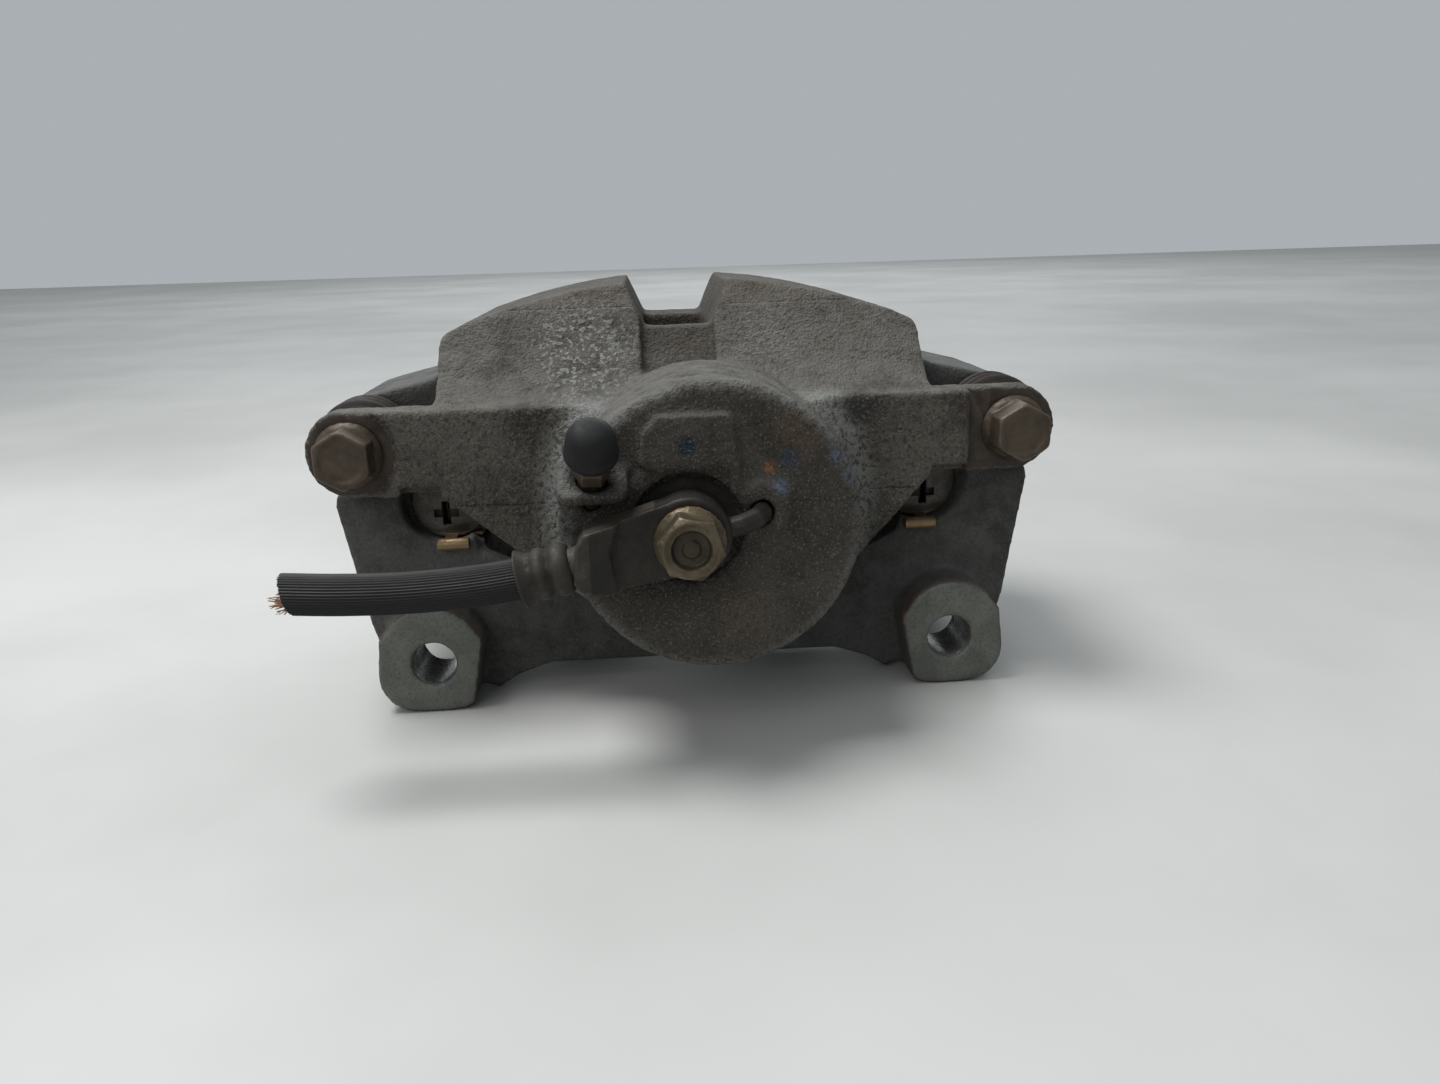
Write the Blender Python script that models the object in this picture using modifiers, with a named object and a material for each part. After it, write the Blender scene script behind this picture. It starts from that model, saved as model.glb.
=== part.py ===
"""Floating single-piston brake caliper on its carrier bracket, with pads and a cut stub of hose.

Metres, +Z up, +Y away from the cylinder's closed end (outboard), +X along the bracket.
Everything is laid out from the middle of the cylinder's closed end, CALIPER_DATUM, and hangs
on one empty, so the finished part stands with its feet on Z = 0.
"""

import math

import bmesh
import bpy
from mathutils import Matrix, Vector

MM = 0.001

# ---- driving dimensions, in millimetres from the datum ----
CYL_X = 4.8              # the cylinder sits this far to the right of the bracket's middle
CYL_R = 37.4
CYL_END = 55.0           # open end of the cylinder
BORE_R = 30.2
BORE_BOTTOM = 12.0
PIN_X, PIN_Z = 92.1, 16.0
ARM_FRONT, ARM_BACK = 33.0, 44.5
ARM_TOP, ARM_UNDER = 27.6, 3.8
EAR_R = 12.2
WEB_R = 44.6             # round flange where the arms run into the cylinder
DISC_AXIS_Z = -131.5
CREST_R = 190.0          # outside of the bridge
TUNNEL_R = 170.0         # inside of the bridge, over the disc
TUNNEL_FRONT = 57.0
BRIDGE_X = 69.0          # half width of the bridge
FINGER_FRONT, FINGER_BACK = 118.7, 133.7
FINGER_LOW = -34.0
LIP_ROOM = 18.0          # the bridge's outboard corners end here, over the bracket's lips
EYE_X, EYE_Z = -2.1, 0.8  # banjo bolt
PEG_X, PEG_Z = 16.4, 4.4  # locating hole of the hose fitting
BLEED_FOOT = Vector((-24.9, -3.0, 16.0))
BLEED_AXIS = Vector((0.06, -0.64, 0.766)).normalized()
MOUNT_X, MOUNT_Z = 76.0, -46.6
MOUNT_FACE = 36.0
MOUNT_R = 6.4
FOOT_Z = -61.5           # what the part stands on
WALL_FRONT, WALL_BACK = 49.5, 56.0
FRAME_BACK = 72.0        # inboard pad abutments end here, clear of the disc
OUTER_FRONT, OUTER_BACK = 103.5, 116.0
BOSS_FRONT = 64.0        # guide-pin bosses of the bracket
CLIP_X, CLIP_Z = 71.0, -2.0
CLIP_HOLE_R = 12.5
PAD_X = 58.0
HOSE_R = 5.0
GAP = 0.3                # between neighbours that touch

MIDDLE_Y = 56.7          # half way along the assembly
CALIPER_DATUM = Vector((0.0, -MIDDLE_Y, -FOOT_Z)) * MM

CAST_IRON = ("cast_iron", (0.13, 0.12, 0.11), 0.75, 0.6)
MACHINED = ("bracket_iron", (0.16, 0.16, 0.14), 0.6, 0.7)
BOLT_STEEL = ("bolt_steel", (0.2, 0.17, 0.14), 0.5, 0.8)
ZINC = ("yellow_zinc", (0.27, 0.22, 0.13), 0.45, 0.8)
CHROME = ("piston_chrome", (0.5, 0.5, 0.5), 0.2, 1.0)
COPPER = ("copper", (0.45, 0.24, 0.12), 0.4, 1.0)
SPRING_STEEL = ("spring_steel", (0.3, 0.26, 0.18), 0.4, 0.9)
RUBBER = ("black_rubber", (0.02, 0.02, 0.02), 0.7, 0.0)
HOSE_RUBBER = ("hose_rubber", (0.035, 0.035, 0.04), 0.65, 0.0)
PAD_STEEL = ("pad_steel", (0.08, 0.07, 0.06), 0.6, 0.6)
FRICTION = ("friction_lining", (0.09, 0.08, 0.07), 0.9, 0.0)
BRAID = ("braid_cord", (0.2, 0.12, 0.07), 0.8, 0.0)


# ---- scene helpers ----
def clear_scene():
    for obj in list(bpy.data.objects):
        bpy.data.objects.remove(obj, do_unlink=True)


def new_collection(name):
    made = bpy.data.collections.new(name)
    bpy.context.scene.collection.children.link(made)
    return made


clear_scene()
PARTS = new_collection("brake_caliper")
CUTTERS = new_collection("cutters")
CUTTERS.hide_render = True
DATUM = bpy.data.objects.new("caliper_datum", None)
DATUM.location = CALIPER_DATUM
PARTS.objects.link(DATUM)


def material(finish):
    name, colour, roughness, metal = finish
    found = bpy.data.materials.get(name)
    if found:
        return found
    made = bpy.data.materials.new(name)
    made.use_nodes = True
    shader = made.node_tree.nodes["Principled BSDF"]
    shader.inputs["Base Color"].default_value = (*colour, 1.0)
    shader.inputs["Roughness"].default_value = roughness
    shader.inputs["Metallic"].default_value = metal
    return made


def settle(obj, finish=None, origin=(0, 0, 0)):
    """Puts a finished mesh in its collection, with its origin (mm from the datum) on a joint's axis."""
    origin = Vector(origin) * MM
    obj.data.transform(Matrix.Translation(-origin))
    obj.parent = DATUM
    obj.location = origin
    if finish:
        obj.data.materials.clear()
        obj.data.materials.append(material(finish))
        obj.data.shade_smooth()
        obj.data.set_sharp_from_angle(angle=math.radians(35))
        PARTS.objects.link(obj)
    else:
        obj.hide_render = True
        obj.display_type = "WIRE"
        CUTTERS.objects.link(obj)
    return obj


def baked(source):
    """The evaluated mesh of a curve or a screwed profile, welded, closed and facing out."""
    PARTS.objects.link(source)
    bpy.context.view_layer.update()
    graph = bpy.context.evaluated_depsgraph_get()
    mesh = bpy.data.meshes.new_from_object(source.evaluated_get(graph))
    mesh.transform(source.matrix_world)
    name = source.name
    bpy.data.objects.remove(source, do_unlink=True)
    work = bmesh.new()
    work.from_mesh(mesh)
    bmesh.ops.remove_doubles(work, verts=work.verts, dist=1e-6)
    bmesh.ops.recalc_face_normals(work, faces=work.faces)
    work.to_mesh(mesh)
    work.free()
    return bpy.data.objects.new(name, mesh)


# ---- shapes, all in millimetres from the datum ----
def arc(x, z, radius, start, end, steps):
    """Points on an arc, angles in degrees from +X towards +Z."""
    turn = [math.radians(start + (end - start) * i / steps) for i in range(steps + 1)]
    return [(x + radius * math.cos(a), z + radius * math.sin(a)) for a in turn]


def mirrored(half):
    """A closed outline from its right half, which runs from the middle line back to it."""
    return half + [(-x, z) for x, z in reversed(half) if abs(x) > 1e-6]


def prism(name, outline, low, high, along="Y"):
    """A flat outline, (x, z) along Y or (y, z) along X, extruded from low to high."""
    flat = bpy.data.curves.new(name, "CURVE")
    flat.dimensions = "2D"
    flat.fill_mode = "BOTH"
    flat.extrude = (high - low) / 2 * MM
    line = flat.splines.new("POLY")
    line.points.add(len(outline) - 1)
    for point, (across, up) in zip(line.points, outline):
        point.co = (across * MM, up * MM, 0, 1)
    line.use_cyclic_u = True
    source = bpy.data.objects.new(name, flat)
    middle = (low + high) / 2 * MM
    if along == "Y":
        source.matrix_world = Matrix.Translation((0, middle, 0)) @ Matrix.Rotation(math.pi / 2, 4, "X")
    else:
        turn = Matrix(((0, 0, 1, 0), (1, 0, 0, 0), (0, 1, 0, 0), (0, 0, 0, 1)))
        source.matrix_world = Matrix.Translation((middle, 0, 0)) @ turn
    return baked(source)


def box(name, low, high):
    mesh = bpy.data.meshes.new(name)
    work = bmesh.new()
    bmesh.ops.create_cube(work, size=1.0)
    low, high = Vector(low) * MM, Vector(high) * MM
    bmesh.ops.scale(work, vec=high - low, verts=work.verts)
    bmesh.ops.translate(work, vec=(low + high) / 2, verts=work.verts)
    work.to_mesh(mesh)
    work.free()
    return bpy.data.objects.new(name, mesh)


def turned(name, profile, foot, axis=(0, 1, 0), steps=32, ring=False):
    """A profile of (radius, height) turned round an axis through foot. A ring's profile is closed."""
    mesh = bpy.data.meshes.new(name)
    points = [(r * MM, 0, h * MM) for r, h in profile]
    edges = [(i, i + 1) for i in range(len(points) - 1)]
    if ring:
        edges.append((len(points) - 1, 0))
    mesh.from_pydata(points, edges, [])
    source = bpy.data.objects.new(name, mesh)
    spin = source.modifiers.new("turn", "SCREW")
    spin.steps = steps
    spin.render_steps = steps
    spin.use_merge_vertices = True
    spin.merge_threshold = 0.00001
    lean = Vector((0, 0, 1)).rotation_difference(Vector(axis).normalized()).to_matrix().to_4x4()
    source.matrix_world = Matrix.Translation(Vector(foot) * MM) @ lean
    return baked(source)


def rod(name, radius, start, end, steps=32, chamfer=0.0):
    """A plain cylinder between two points, with chamfered ends where asked."""
    start, end = Vector(start), Vector(end)
    length = (end - start).length
    if chamfer:
        profile = [(0, length), (radius - chamfer, length), (radius, length - chamfer),
                   (radius, chamfer), (radius - chamfer, 0), (0, 0)]
    else:
        profile = [(0, length), (radius, length), (radius, 0), (0, 0)]
    return turned(name, profile, start, end - start, steps)


def bent_tube(name, radius, points, smooth_turns=2):
    """A round bar along hand-placed points, rounded at its bends."""
    line = bpy.data.curves.new(name, "CURVE")
    line.dimensions = "3D"
    line.bevel_depth = radius * MM
    line.bevel_resolution = smooth_turns
    line.use_fill_caps = True
    path = line.splines.new("POLY")
    path.points.add(len(points) - 1)
    for point, place in zip(path.points, points):
        point.co = (*(Vector(place) * MM), 1)
    return baked(bpy.data.objects.new(name, line))


def smooth_route(points, steps):
    """Points read from one smooth curve through the route's own points."""
    padded = [points[0] * 2 - points[1], *points, points[-1] * 2 - points[-2]]
    route = []
    for a, b, c, d in zip(padded, padded[1:], padded[2:], padded[3:]):
        for i in range(steps):
            t = i / steps
            route.append(0.5 * (2 * b + (c - a) * t + (2 * a - 5 * b + 4 * c - d) * t * t
                                + (3 * b - 3 * c + d - a) * t ** 3))
    return route + [points[-1]]


LEFT_OPEN_BY_EXACT = ("caliper_housing",)  # the exact solver drops slivers from this one


def combine(base, others, operation):
    for other in others:
        step = base.modifiers.new(other.name, "BOOLEAN")
        step.operation = operation
        step.solver = "MANIFOLD" if base.name in LEFT_OPEN_BY_EXACT else "EXACT"
        step.object = settle(other)
    return base


def add(base, *others):
    return combine(base, others, "UNION")


def cut(base, *others):
    return combine(base, others, "DIFFERENCE")


def tangent_point(point, centre, radius, side):
    """Where a line from a point touches a circle; side is +1 or -1."""
    to_point = Vector(point) - Vector(centre)
    spread = math.acos(radius / to_point.length)
    angle = math.atan2(to_point.y, to_point.x) + side * spread
    return math.degrees(angle)


# ---- the caliper housing ----
def arm_outline():
    """Both arms with their round ears, running into the round flange below the bridge."""
    left, right = (-68.6, ARM_UNDER), (68.2, ARM_UNDER)
    start = tangent_point(left, (CYL_X, 0), WEB_R, 1)
    end = tangent_point(right, (CYL_X, 0), WEB_R, -1)
    flange = arc(CYL_X, 0, WEB_R, start % 360, end % 360, 12)
    right_ear = arc(PIN_X, PIN_Z, EAR_R, -90, 72, 9)
    left_ear = arc(-PIN_X, PIN_Z, EAR_R, 108, 270, 9)
    return [left, *flange, right, *right_ear, (84, ARM_TOP), (-84, ARM_TOP), *left_ear]


def slope_outline():
    """Side view of the bridge: up from the arms, over the crest, back to the outboard end."""
    rise = [(33.6, 27.2), (38, 28.2), (43, 30.6), (48, 34.6), (53, 40.2), (57.5, 46.4), (62, 52.6), (66, 57)]
    crest = [(71, 60), (100, 59.4), (127, 58.6), (FINGER_BACK - 1.5, 56), (FINGER_BACK, 51)]
    return [(33.6, 8), *rise, *crest, (FINGER_BACK, 16), (FINGER_FRONT, 8)]


def bridge():
    body = prism("caliper_housing", slope_outline(), -BRIDGE_X, BRIDGE_X, "X")
    arch = arc(0, DISC_AXIS_Z, CREST_R, 69, 111, 20)
    arch = [(x, z) for x, z in arch if abs(x) < BRIDGE_X - 3.2]
    shoulder = DISC_AXIS_Z + math.sqrt(CREST_R ** 2 - (BRIDGE_X - 3.2) ** 2)
    side = [(BRIDGE_X, 5), (BRIDGE_X, shoulder - 4), (BRIDGE_X - 1, shoulder - 1.6)]
    outline = side + arch + [(-x, z) for x, z in reversed(side)]
    combine(body, [prism("arch", outline, 20, 150)], "INTERSECT")
    cut(body, box("under_slope", (-80, ARM_BACK - 0.7, -10), (80, TUNNEL_FRONT + 0.5, 24)),
        rod("disc_tunnel", TUNNEL_R, (0, TUNNEL_FRONT, DISC_AXIS_Z), (0, FINGER_FRONT + 0.6, DISC_AXIS_Z), 72))
    return body


def fingers():
    """The outboard claw: two fingers with a round gap between them."""
    half = [(0, 6), *arc(0, -11, 17.5, 90, 0, 8)[1:], (17.5, FINGER_LOW + 3), (20.5, FINGER_LOW),
            (47, FINGER_LOW), (52, FINGER_LOW + 5), (57, 8), (60, 34), (0, 47)]
    outline = half + [(-x, z) for x, z in reversed(half[1:-1])]
    return prism("claw", outline, FINGER_FRONT, FINGER_BACK - 0.8)


def cylinder():
    edge = 2.2
    profile = [(0, CYL_END), (CYL_R - 0.8, CYL_END), (CYL_R, CYL_END - 0.8), (CYL_R, edge),
               (CYL_R - 0.7, 0.7), (CYL_R - edge, 0), (0, 0)]
    return turned("cylinder", profile, (CYL_X, 0, 0), steps=44)


def back_features():
    """Raised pads on the cylinder's closed end."""
    pad = prism("raised_pad", [(-13.2, 17.4), (-10, 16.3), (9.2, 16.3), (9.8, 27.5), (8.4, 29.3),
                               (-8.5, 29.3), (-12.6, 25)], -2.6, 8)
    rim = prism("spot_face_rim", arc(EYE_X, EYE_Z, 18.2, 28, 163, 16) + [(-14, 1)], -1.3, 8)
    rib = prism("rib", [(9.2, 5), (11.4, 5), (11.4, 17), (9.8, 27), (8.6, 27)], -2.4, 8)
    boss = turned("peg_boss", [(0, 8), (7.6, 8), (7.6, -1.2), (6.9, -1.9), (0, -1.9)],
                  (PEG_X, 0, PEG_Z), steps=28)
    return pad, rim, rib, boss


def bleed_boss():
    """A rounded block square to the bleed screw, sunk into the cylinder's shoulder."""
    across, along, round_off = 8.6, 7.0, 3.0
    corners = [(across, -along, 0), (across, along, 90), (-across, along, 180), (-across, -along, 270)]
    outline = []
    for x, y, turn in corners:
        inner_x = x - math.copysign(round_off, x)
        inner_y = y - math.copysign(round_off, y)
        outline += arc(inner_x, inner_y, round_off, turn - 90, turn, 4)
    block = prism("bleed_boss", outline, -0.0, 20)
    lean = Vector((0, 1, 0)).rotation_difference(-BLEED_AXIS).to_matrix().to_4x4()
    block.data.transform(Matrix.Translation(BLEED_FOOT * MM) @ lean)
    return cut(block, box("under_bleed_boss", (-45, -30, -30), (-5, -0.4, 9.2)))


def along_bleed(distance):
    return BLEED_FOOT + BLEED_AXIS * distance


def make_housing():
    body = bridge()
    add(body, prism("arms", arm_outline(), ARM_FRONT, ARM_BACK), fingers(), cylinder())
    add(body, *back_features(), bleed_boss())
    notch = mirrored([(0, 45.3), (9.6, 45.3), (15.2, 58.2), (19, 67), (0, 67)])
    notch = [(x - 0.7, z) for x, z in notch]
    recess = [(44.5, 31.8), (51, 33.6), (56.5, 39.4), (60.6, 45.4), (63, 62), (44, 62)]
    cut(
        body,
        prism("notch", notch, 58.5, 150),
        prism("slope_recess", recess, -11.6, 9.4, "X"),
        box("window", (-10.6, 68.5, 20), (8.6, 111.5, 75)),
        box("left_lip_room", (-80, FINGER_FRONT - 2, -5), (-60.6, FINGER_BACK + 5, LIP_ROOM)),
        box("right_lip_room", (60.6, FINGER_FRONT - 2, -5), (80, FINGER_BACK + 5, LIP_ROOM)),
        rod("bore", BORE_R, (CYL_X, BORE_BOTTOM, 0), (CYL_X, CYL_END + 5, 0), 40),
        rod("seal_groove", 33.0, (CYL_X, 44, 0), (CYL_X, 48, 0), 32),
        rod("boot_groove", 34.0, (CYL_X, 52, 0), (CYL_X, CYL_END + 6, 0), 40),
        rod("spot_face", 14.3, (EYE_X, -6, EYE_Z), (EYE_X, 2.5, EYE_Z), 32),
        rod("inlet", 5.2, (EYE_X, 0, EYE_Z), (EYE_X, BORE_BOTTOM + 3, EYE_Z), 20),
        rod("peg_hole", 3.2, (PEG_X, -5, PEG_Z), (PEG_X, 6, PEG_Z), 20),
        rod("bleed_access", 7.0, along_bleed(0.4), along_bleed(30), 24),
        rod("bleed_recess", 5.6, along_bleed(3), along_bleed(-1.6), 24),
        rod("bleed_hole", 3.9, along_bleed(0), along_bleed(-15.5), 20),
        rod("bleed_passage", 1.4, along_bleed(-10), along_bleed(-27), 10),
        box("right_seat", (78.8, 28, 0), (110, 36.3, 32)),
        rod("left_seat", 13.4, (-PIN_X, 28, PIN_Z), (-PIN_X, 35.4, PIN_Z), 40),
        box("left_step", (-79, 28, 0), (-68.4, 38, 6.4)),
        box("right_step", (68.4, 28, 0), (78.6, 38, 6.4)),
        rod("left_pin_hole", 5.4, (-PIN_X, 30, PIN_Z), (-PIN_X, 60, PIN_Z), 20),
        rod("right_pin_hole", 5.4, (PIN_X, 30, PIN_Z), (PIN_X, 60, PIN_Z), 20),
    )
    settle(body, CAST_IRON)


# ---- the carrier bracket ----
def both_sides(name, outline, low, high):
    """The same prism on the left and on the right."""
    left = [(-x, z) for x, z in reversed(outline)]
    return [prism(name + "_right", outline, low, high), prism(name + "_left", left, low, high)]


def wall_outline():
    """The inboard wall between the ears: low tie, round room for the cylinder, rising sides."""
    room = 40.6
    start = math.degrees(math.asin(-20 / room))
    hollow = arc(CYL_X, 0, room, start, -180 - start, 14)
    right = [(54, -21), (62, -17), (64.4, -11), (66, 1.5), (101.6, 1.5), (102, -2), (96, -39), (93, -50)]
    base = [(60, -61), (54, -57.2), (44, -53.8)]
    return right + base + [(-x, z) for x, z in reversed(right + base)] + hollow[::-1]


def ear_outline():
    low = [*arc(71, FOOT_Z + 9, 9, -130, -90, 3), *arc(81.5, FOOT_Z + 11, 11, -90, 0, 6)]
    top = [(91, -38), *arc(MOUNT_X + 0.5, -44, 14.8, 25, 155, 8), (61.6, -40)]
    return low + top


def inboard_frame_outline():
    """Holds the inboard pad's ear: an open notch with a lip over and under it."""
    return [(61, -36), (96, -36), (101, -2), (101, 1.1), (78.5, 1.1), (78.5, 14), (61, 12),
            (61, 2.6), (73, 2.6), (73, -14.6), (61, -14.6)]


def beam_outline():
    """Section of the arm that reaches over the disc's edge, round the guide-pin boss."""
    boss = arc(PIN_X, PIN_Z, 12.0, -88, 62, 10)
    return [(82, 12), *boss, (86, 29.5), (76, 31.6), (72, 33), (71, 31), (71, 17)]


def outboard_frame_outline():
    return [(61, -46), (61, -14.6), (73, -14.6), (73, 2.6), (61, 2.6), (61, 10), (71.7, 15), (80, 16),
            (100, 12), (101.5, -2), (97, -40), (90, FOOT_Z + 5), (84, FOOT_Z), (56, FOOT_Z)]


def outboard_tie_outline():
    arch = arc(0, FOOT_Z - 96, 106, 60, 120, 16)
    arch = [(x, z) for x, z in arch if z > FOOT_Z + 1]
    base = FOOT_Z + 0.5
    return [(68, -44.4), (62, base), (46, base), *arch, (-46, base), (-62, base), (-68, -44.4)]


def make_carrier():
    body = prism("carrier_bracket", wall_outline(), WALL_FRONT, WALL_BACK)
    add(
        body,
        *both_sides("mount_ear", ear_outline(), MOUNT_FACE, WALL_BACK + 0.6),
        *both_sides("inboard_frame", inboard_frame_outline(), WALL_BACK - 1, FRAME_BACK),
        *both_sides("joint_block", [(71.6, 6), (79, -2.6), (100.4, -2.6), (102, 10), (96, 20), (71.6, 20)],
                    BOSS_FRONT + 0.5, FRAME_BACK - 0.4),
        *both_sides("beam", beam_outline(), BOSS_FRONT, OUTER_BACK - 1.5),
        *both_sides("outboard_frame", outboard_frame_outline(), OUTER_FRONT, OUTER_BACK),
        prism("outboard_tie", outboard_tie_outline(), OUTER_FRONT + 0.7, OUTER_BACK - 0.7),
        box("inboard_tie", (-62, WALL_BACK - 1, -52.6), (62, 64, -43)),
    )
    for side in (-1, 1):
        x = side * PIN_X
        clip = side * CLIP_X
        mount = side * MOUNT_X
        cut(
            body,
            rod(f"pin_bore_{side}", 6.4, (x, BOSS_FRONT - 2, PIN_Z), (x, 108, PIN_Z), 16),
            rod(f"boot_seat_{side}", 9.0, (x, BOSS_FRONT - 2, PIN_Z), (x, BOSS_FRONT + 2.4, PIN_Z), 16),
            rod(f"clip_room_{side}", CLIP_HOLE_R, (clip, 40, CLIP_Z), (clip, WALL_BACK + 0.6, CLIP_Z), 24),
            rod(f"mount_hole_{side}", MOUNT_R, (mount, 30, MOUNT_Z), (mount, 60, MOUNT_Z), 24),
        )
    settle(body, MACHINED)


# ---- hydraulics ----
def make_piston():
    profile = [(0, 26), (24, 26), (24.5, 56.3), (28.6, 56.3), (29.2, 55.7), (29.2, 54.4), (28.2, 54.4),
               (28.2, 52.6), (29.9, 52.2), (29.9, 21), (28.9, 20), (0, 20)]
    settle(turned("piston", profile, (CYL_X, 0, 0), steps=36), CHROME, (CYL_X, 38, 0))


def make_seals():
    seal = [(30.3, 44.4), (30.3, 47.6), (32.7, 47.6), (32.7, 44.4)]
    settle(turned("piston_seal", seal, (CYL_X, 0, 0), steps=28, ring=True), RUBBER)
    boot = [(30.3, 55.4), (31.1, 56.2), (31.9, 55.3), (33.6, 55.3), (33.6, 52.4), (32.9, 52.4),
            (32.9, 54.5), (31.0, 54.5)]
    settle(turned("piston_dust_boot", boot, (CYL_X, 0, 0), steps=28, ring=True), RUBBER)
    ring = [(31.6, 52.5), (31.6, 53.9), (32.6, 53.9), (32.6, 52.5)]
    settle(turned("boot_retaining_ring", ring, (CYL_X, 0, 0), steps=20, ring=True), SPRING_STEEL)


def make_bleeder():
    hexagon = turned("bleed_screw", [(0, 4.3), (4.2, 4.3), (4.6, 3.7), (4.6, 0.3), (3.6, -0.4), (0, -0.4)],
                     BLEED_FOOT, BLEED_AXIS, steps=6)
    shank = turned("bleed_shank", [(0, 13.2), (1.6, 13.2), (2.9, 11.8), (2.9, 10.2), (2.3, 9.2), (2.3, 7.8),
                                   (2.9, 7), (2.9, 0.1), (3.5, 0.1), (3.5, -11.6), (1.1, -14.4), (0, -14.4)],
                   BLEED_FOOT, BLEED_AXIS, steps=20)
    settle(add(hexagon, shank), ZINC, BLEED_FOOT)
    cap = [(0, 17.6), (3.4, 17.2), (5.0, 15.9), (5.8, 13.6), (5.8, 7.8), (6.2, 7.2), (6.2, 4.7), (5.1, 4.7),
           (5.1, 5.6), (3.25, 6.4), (3.25, 13.5), (0, 13.9)]
    settle(turned("bleed_cap", cap, BLEED_FOOT, BLEED_AXIS, steps=20), RUBBER, BLEED_FOOT)


def hex_head(name, x, z, face, seat, across_flats, turn, face_r, dish, dish_depth):
    """A six-sided bolt head facing -Y, its corners chamfered to a round face with a dish in it."""
    corner = across_flats / math.sqrt(3)
    head = turned(name, [(0, seat - face), (corner, seat - face), (corner, 0), (0, 0)], (0, 0, 0), steps=6)
    head.data.transform(Matrix.Rotation(math.radians(turn), 4, "Y"))
    head.data.transform(Matrix.Translation(Vector((x, face, z)) * MM))
    cone = [(0, seat - face + 1), (corner + 2, seat - face + 1), (corner + 2, 3.4), (face_r, 0), (0, 0)]
    combine(head, [turned(name + "_chamfer", cone, (x, face, z), steps=24)], "INTERSECT")
    bowl = [(0, dish_depth), (dish - 0.7, dish_depth), (dish, -1), (0, -1)]
    cut(head, turned(name + "_dish", bowl, (x, face, z), steps=20))
    return head


def make_guide(side, word, seat):
    """Bolt through the caliper's ear into the end of its guide pin, and the pin's rubber boot."""
    x = side * PIN_X
    head = hex_head(f"guide_bolt_{word}", x, PIN_Z, 25.5, seat - 1.9, 14.5, 30, 7.6, 6.3, 0.5)
    flange = turned("bolt_flange", [(0, 2.4), (9.1, 2.4), (9.3, 1.6), (8.2, 0), (0, 0)],
                    (x, seat - 2.7, PIN_Z), steps=22)
    shank = rod("bolt_shank", 4.7, (x, seat - 1, PIN_Z), (x, 62, PIN_Z), 20, 0.6)
    settle(add(head, flange, shank), BOLT_STEEL, (x, seat, PIN_Z))

    collar = turned(f"guide_pin_{word}", [(0, 3.4), (8.1, 3.4), (8.1, 0), (0, 0)],
                    (x, ARM_BACK + GAP, PIN_Z), steps=6)
    shaft = rod("pin_shaft", 5.9, (x, ARM_BACK + 1, PIN_Z), (x, 100 if side < 0 else 93.7, PIN_Z), 24, 0.8)
    tapping = rod("pin_tapping", 5.0, (x, 40, PIN_Z), (x, 64, PIN_Z), 16)
    pin = cut(add(collar, shaft), tapping)
    if side > 0:
        add(pin, rod("pin_nose", 4.2, (x, 93, PIN_Z), (x, 104, PIN_Z), 20))
    settle(pin, BOLT_STEEL, (x, ARM_BACK, PIN_Z))

    fold = [(7.6, 48.7), (9.4, 48.7)]
    for crest in (50.4, 54.4, 58.4):
        fold += [(12.4, crest), (12.9, crest + 1.2), (12.4, crest + 2.2), (10.6, crest + 3.0)]
    fold += [(11.4, 62.6), (11.4, BOSS_FRONT - GAP), (8.6, BOSS_FRONT - GAP), (8.6, 66), (7.0, 66), (7.0, 60)]
    boot = turned(f"pin_boot_{word}", fold, (x, 0, PIN_Z), steps=18, ring=True)
    settle(boot, RUBBER)


def make_pin_bush():
    """The rubber sleeve that steadies the right-hand guide pin in its bore."""
    sleeve = [(4.5, 94.1), (4.5, 103.6), (6.0, 103.6), (6.0, 94.1)]
    settle(turned("guide_pin_bush", sleeve, (PIN_X, 0, PIN_Z), steps=20, ring=True), RUBBER)


# ---- hose connection ----
def make_banjo():
    head = hex_head("banjo_bolt", EYE_X, EYE_Z, -20.3, -13.6, 14.4, 12, 6.7, 5.0, 1.6)
    flange = turned("banjo_flange", [(0, 2.2), (8.6, 2.2), (8.8, 1.4), (7.6, 0), (0, 0)],
                    (EYE_X, -14.6, EYE_Z), steps=24)
    shank = rod("banjo_shank", 4.8, (EYE_X, -13, EYE_Z), (EYE_X, 11, EYE_Z), 20, 0.8)
    nib = rod("banjo_nib", 2.1, (EYE_X, -19.4, EYE_Z), (EYE_X, -17, EYE_Z), 16)
    settle(add(head, flange, shank, nib), ZINC, (EYE_X, 0, EYE_Z))
    for name, front in (("copper_washer_outer", -12.1), ("copper_washer_inner", 1.0)):
        ring = [(5.3, front), (5.3, front + 1.2), (8.4, front + 1.2), (8.4, front)]
        settle(turned(name, ring, (EYE_X, 0, EYE_Z), steps=20, ring=True), COPPER)


FERRULE_FOOT = Vector((-30.4, -7.9, -5.1))
FERRULE_AXIS = Vector((-1.0, 0.0, -0.215)).normalized()


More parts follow.
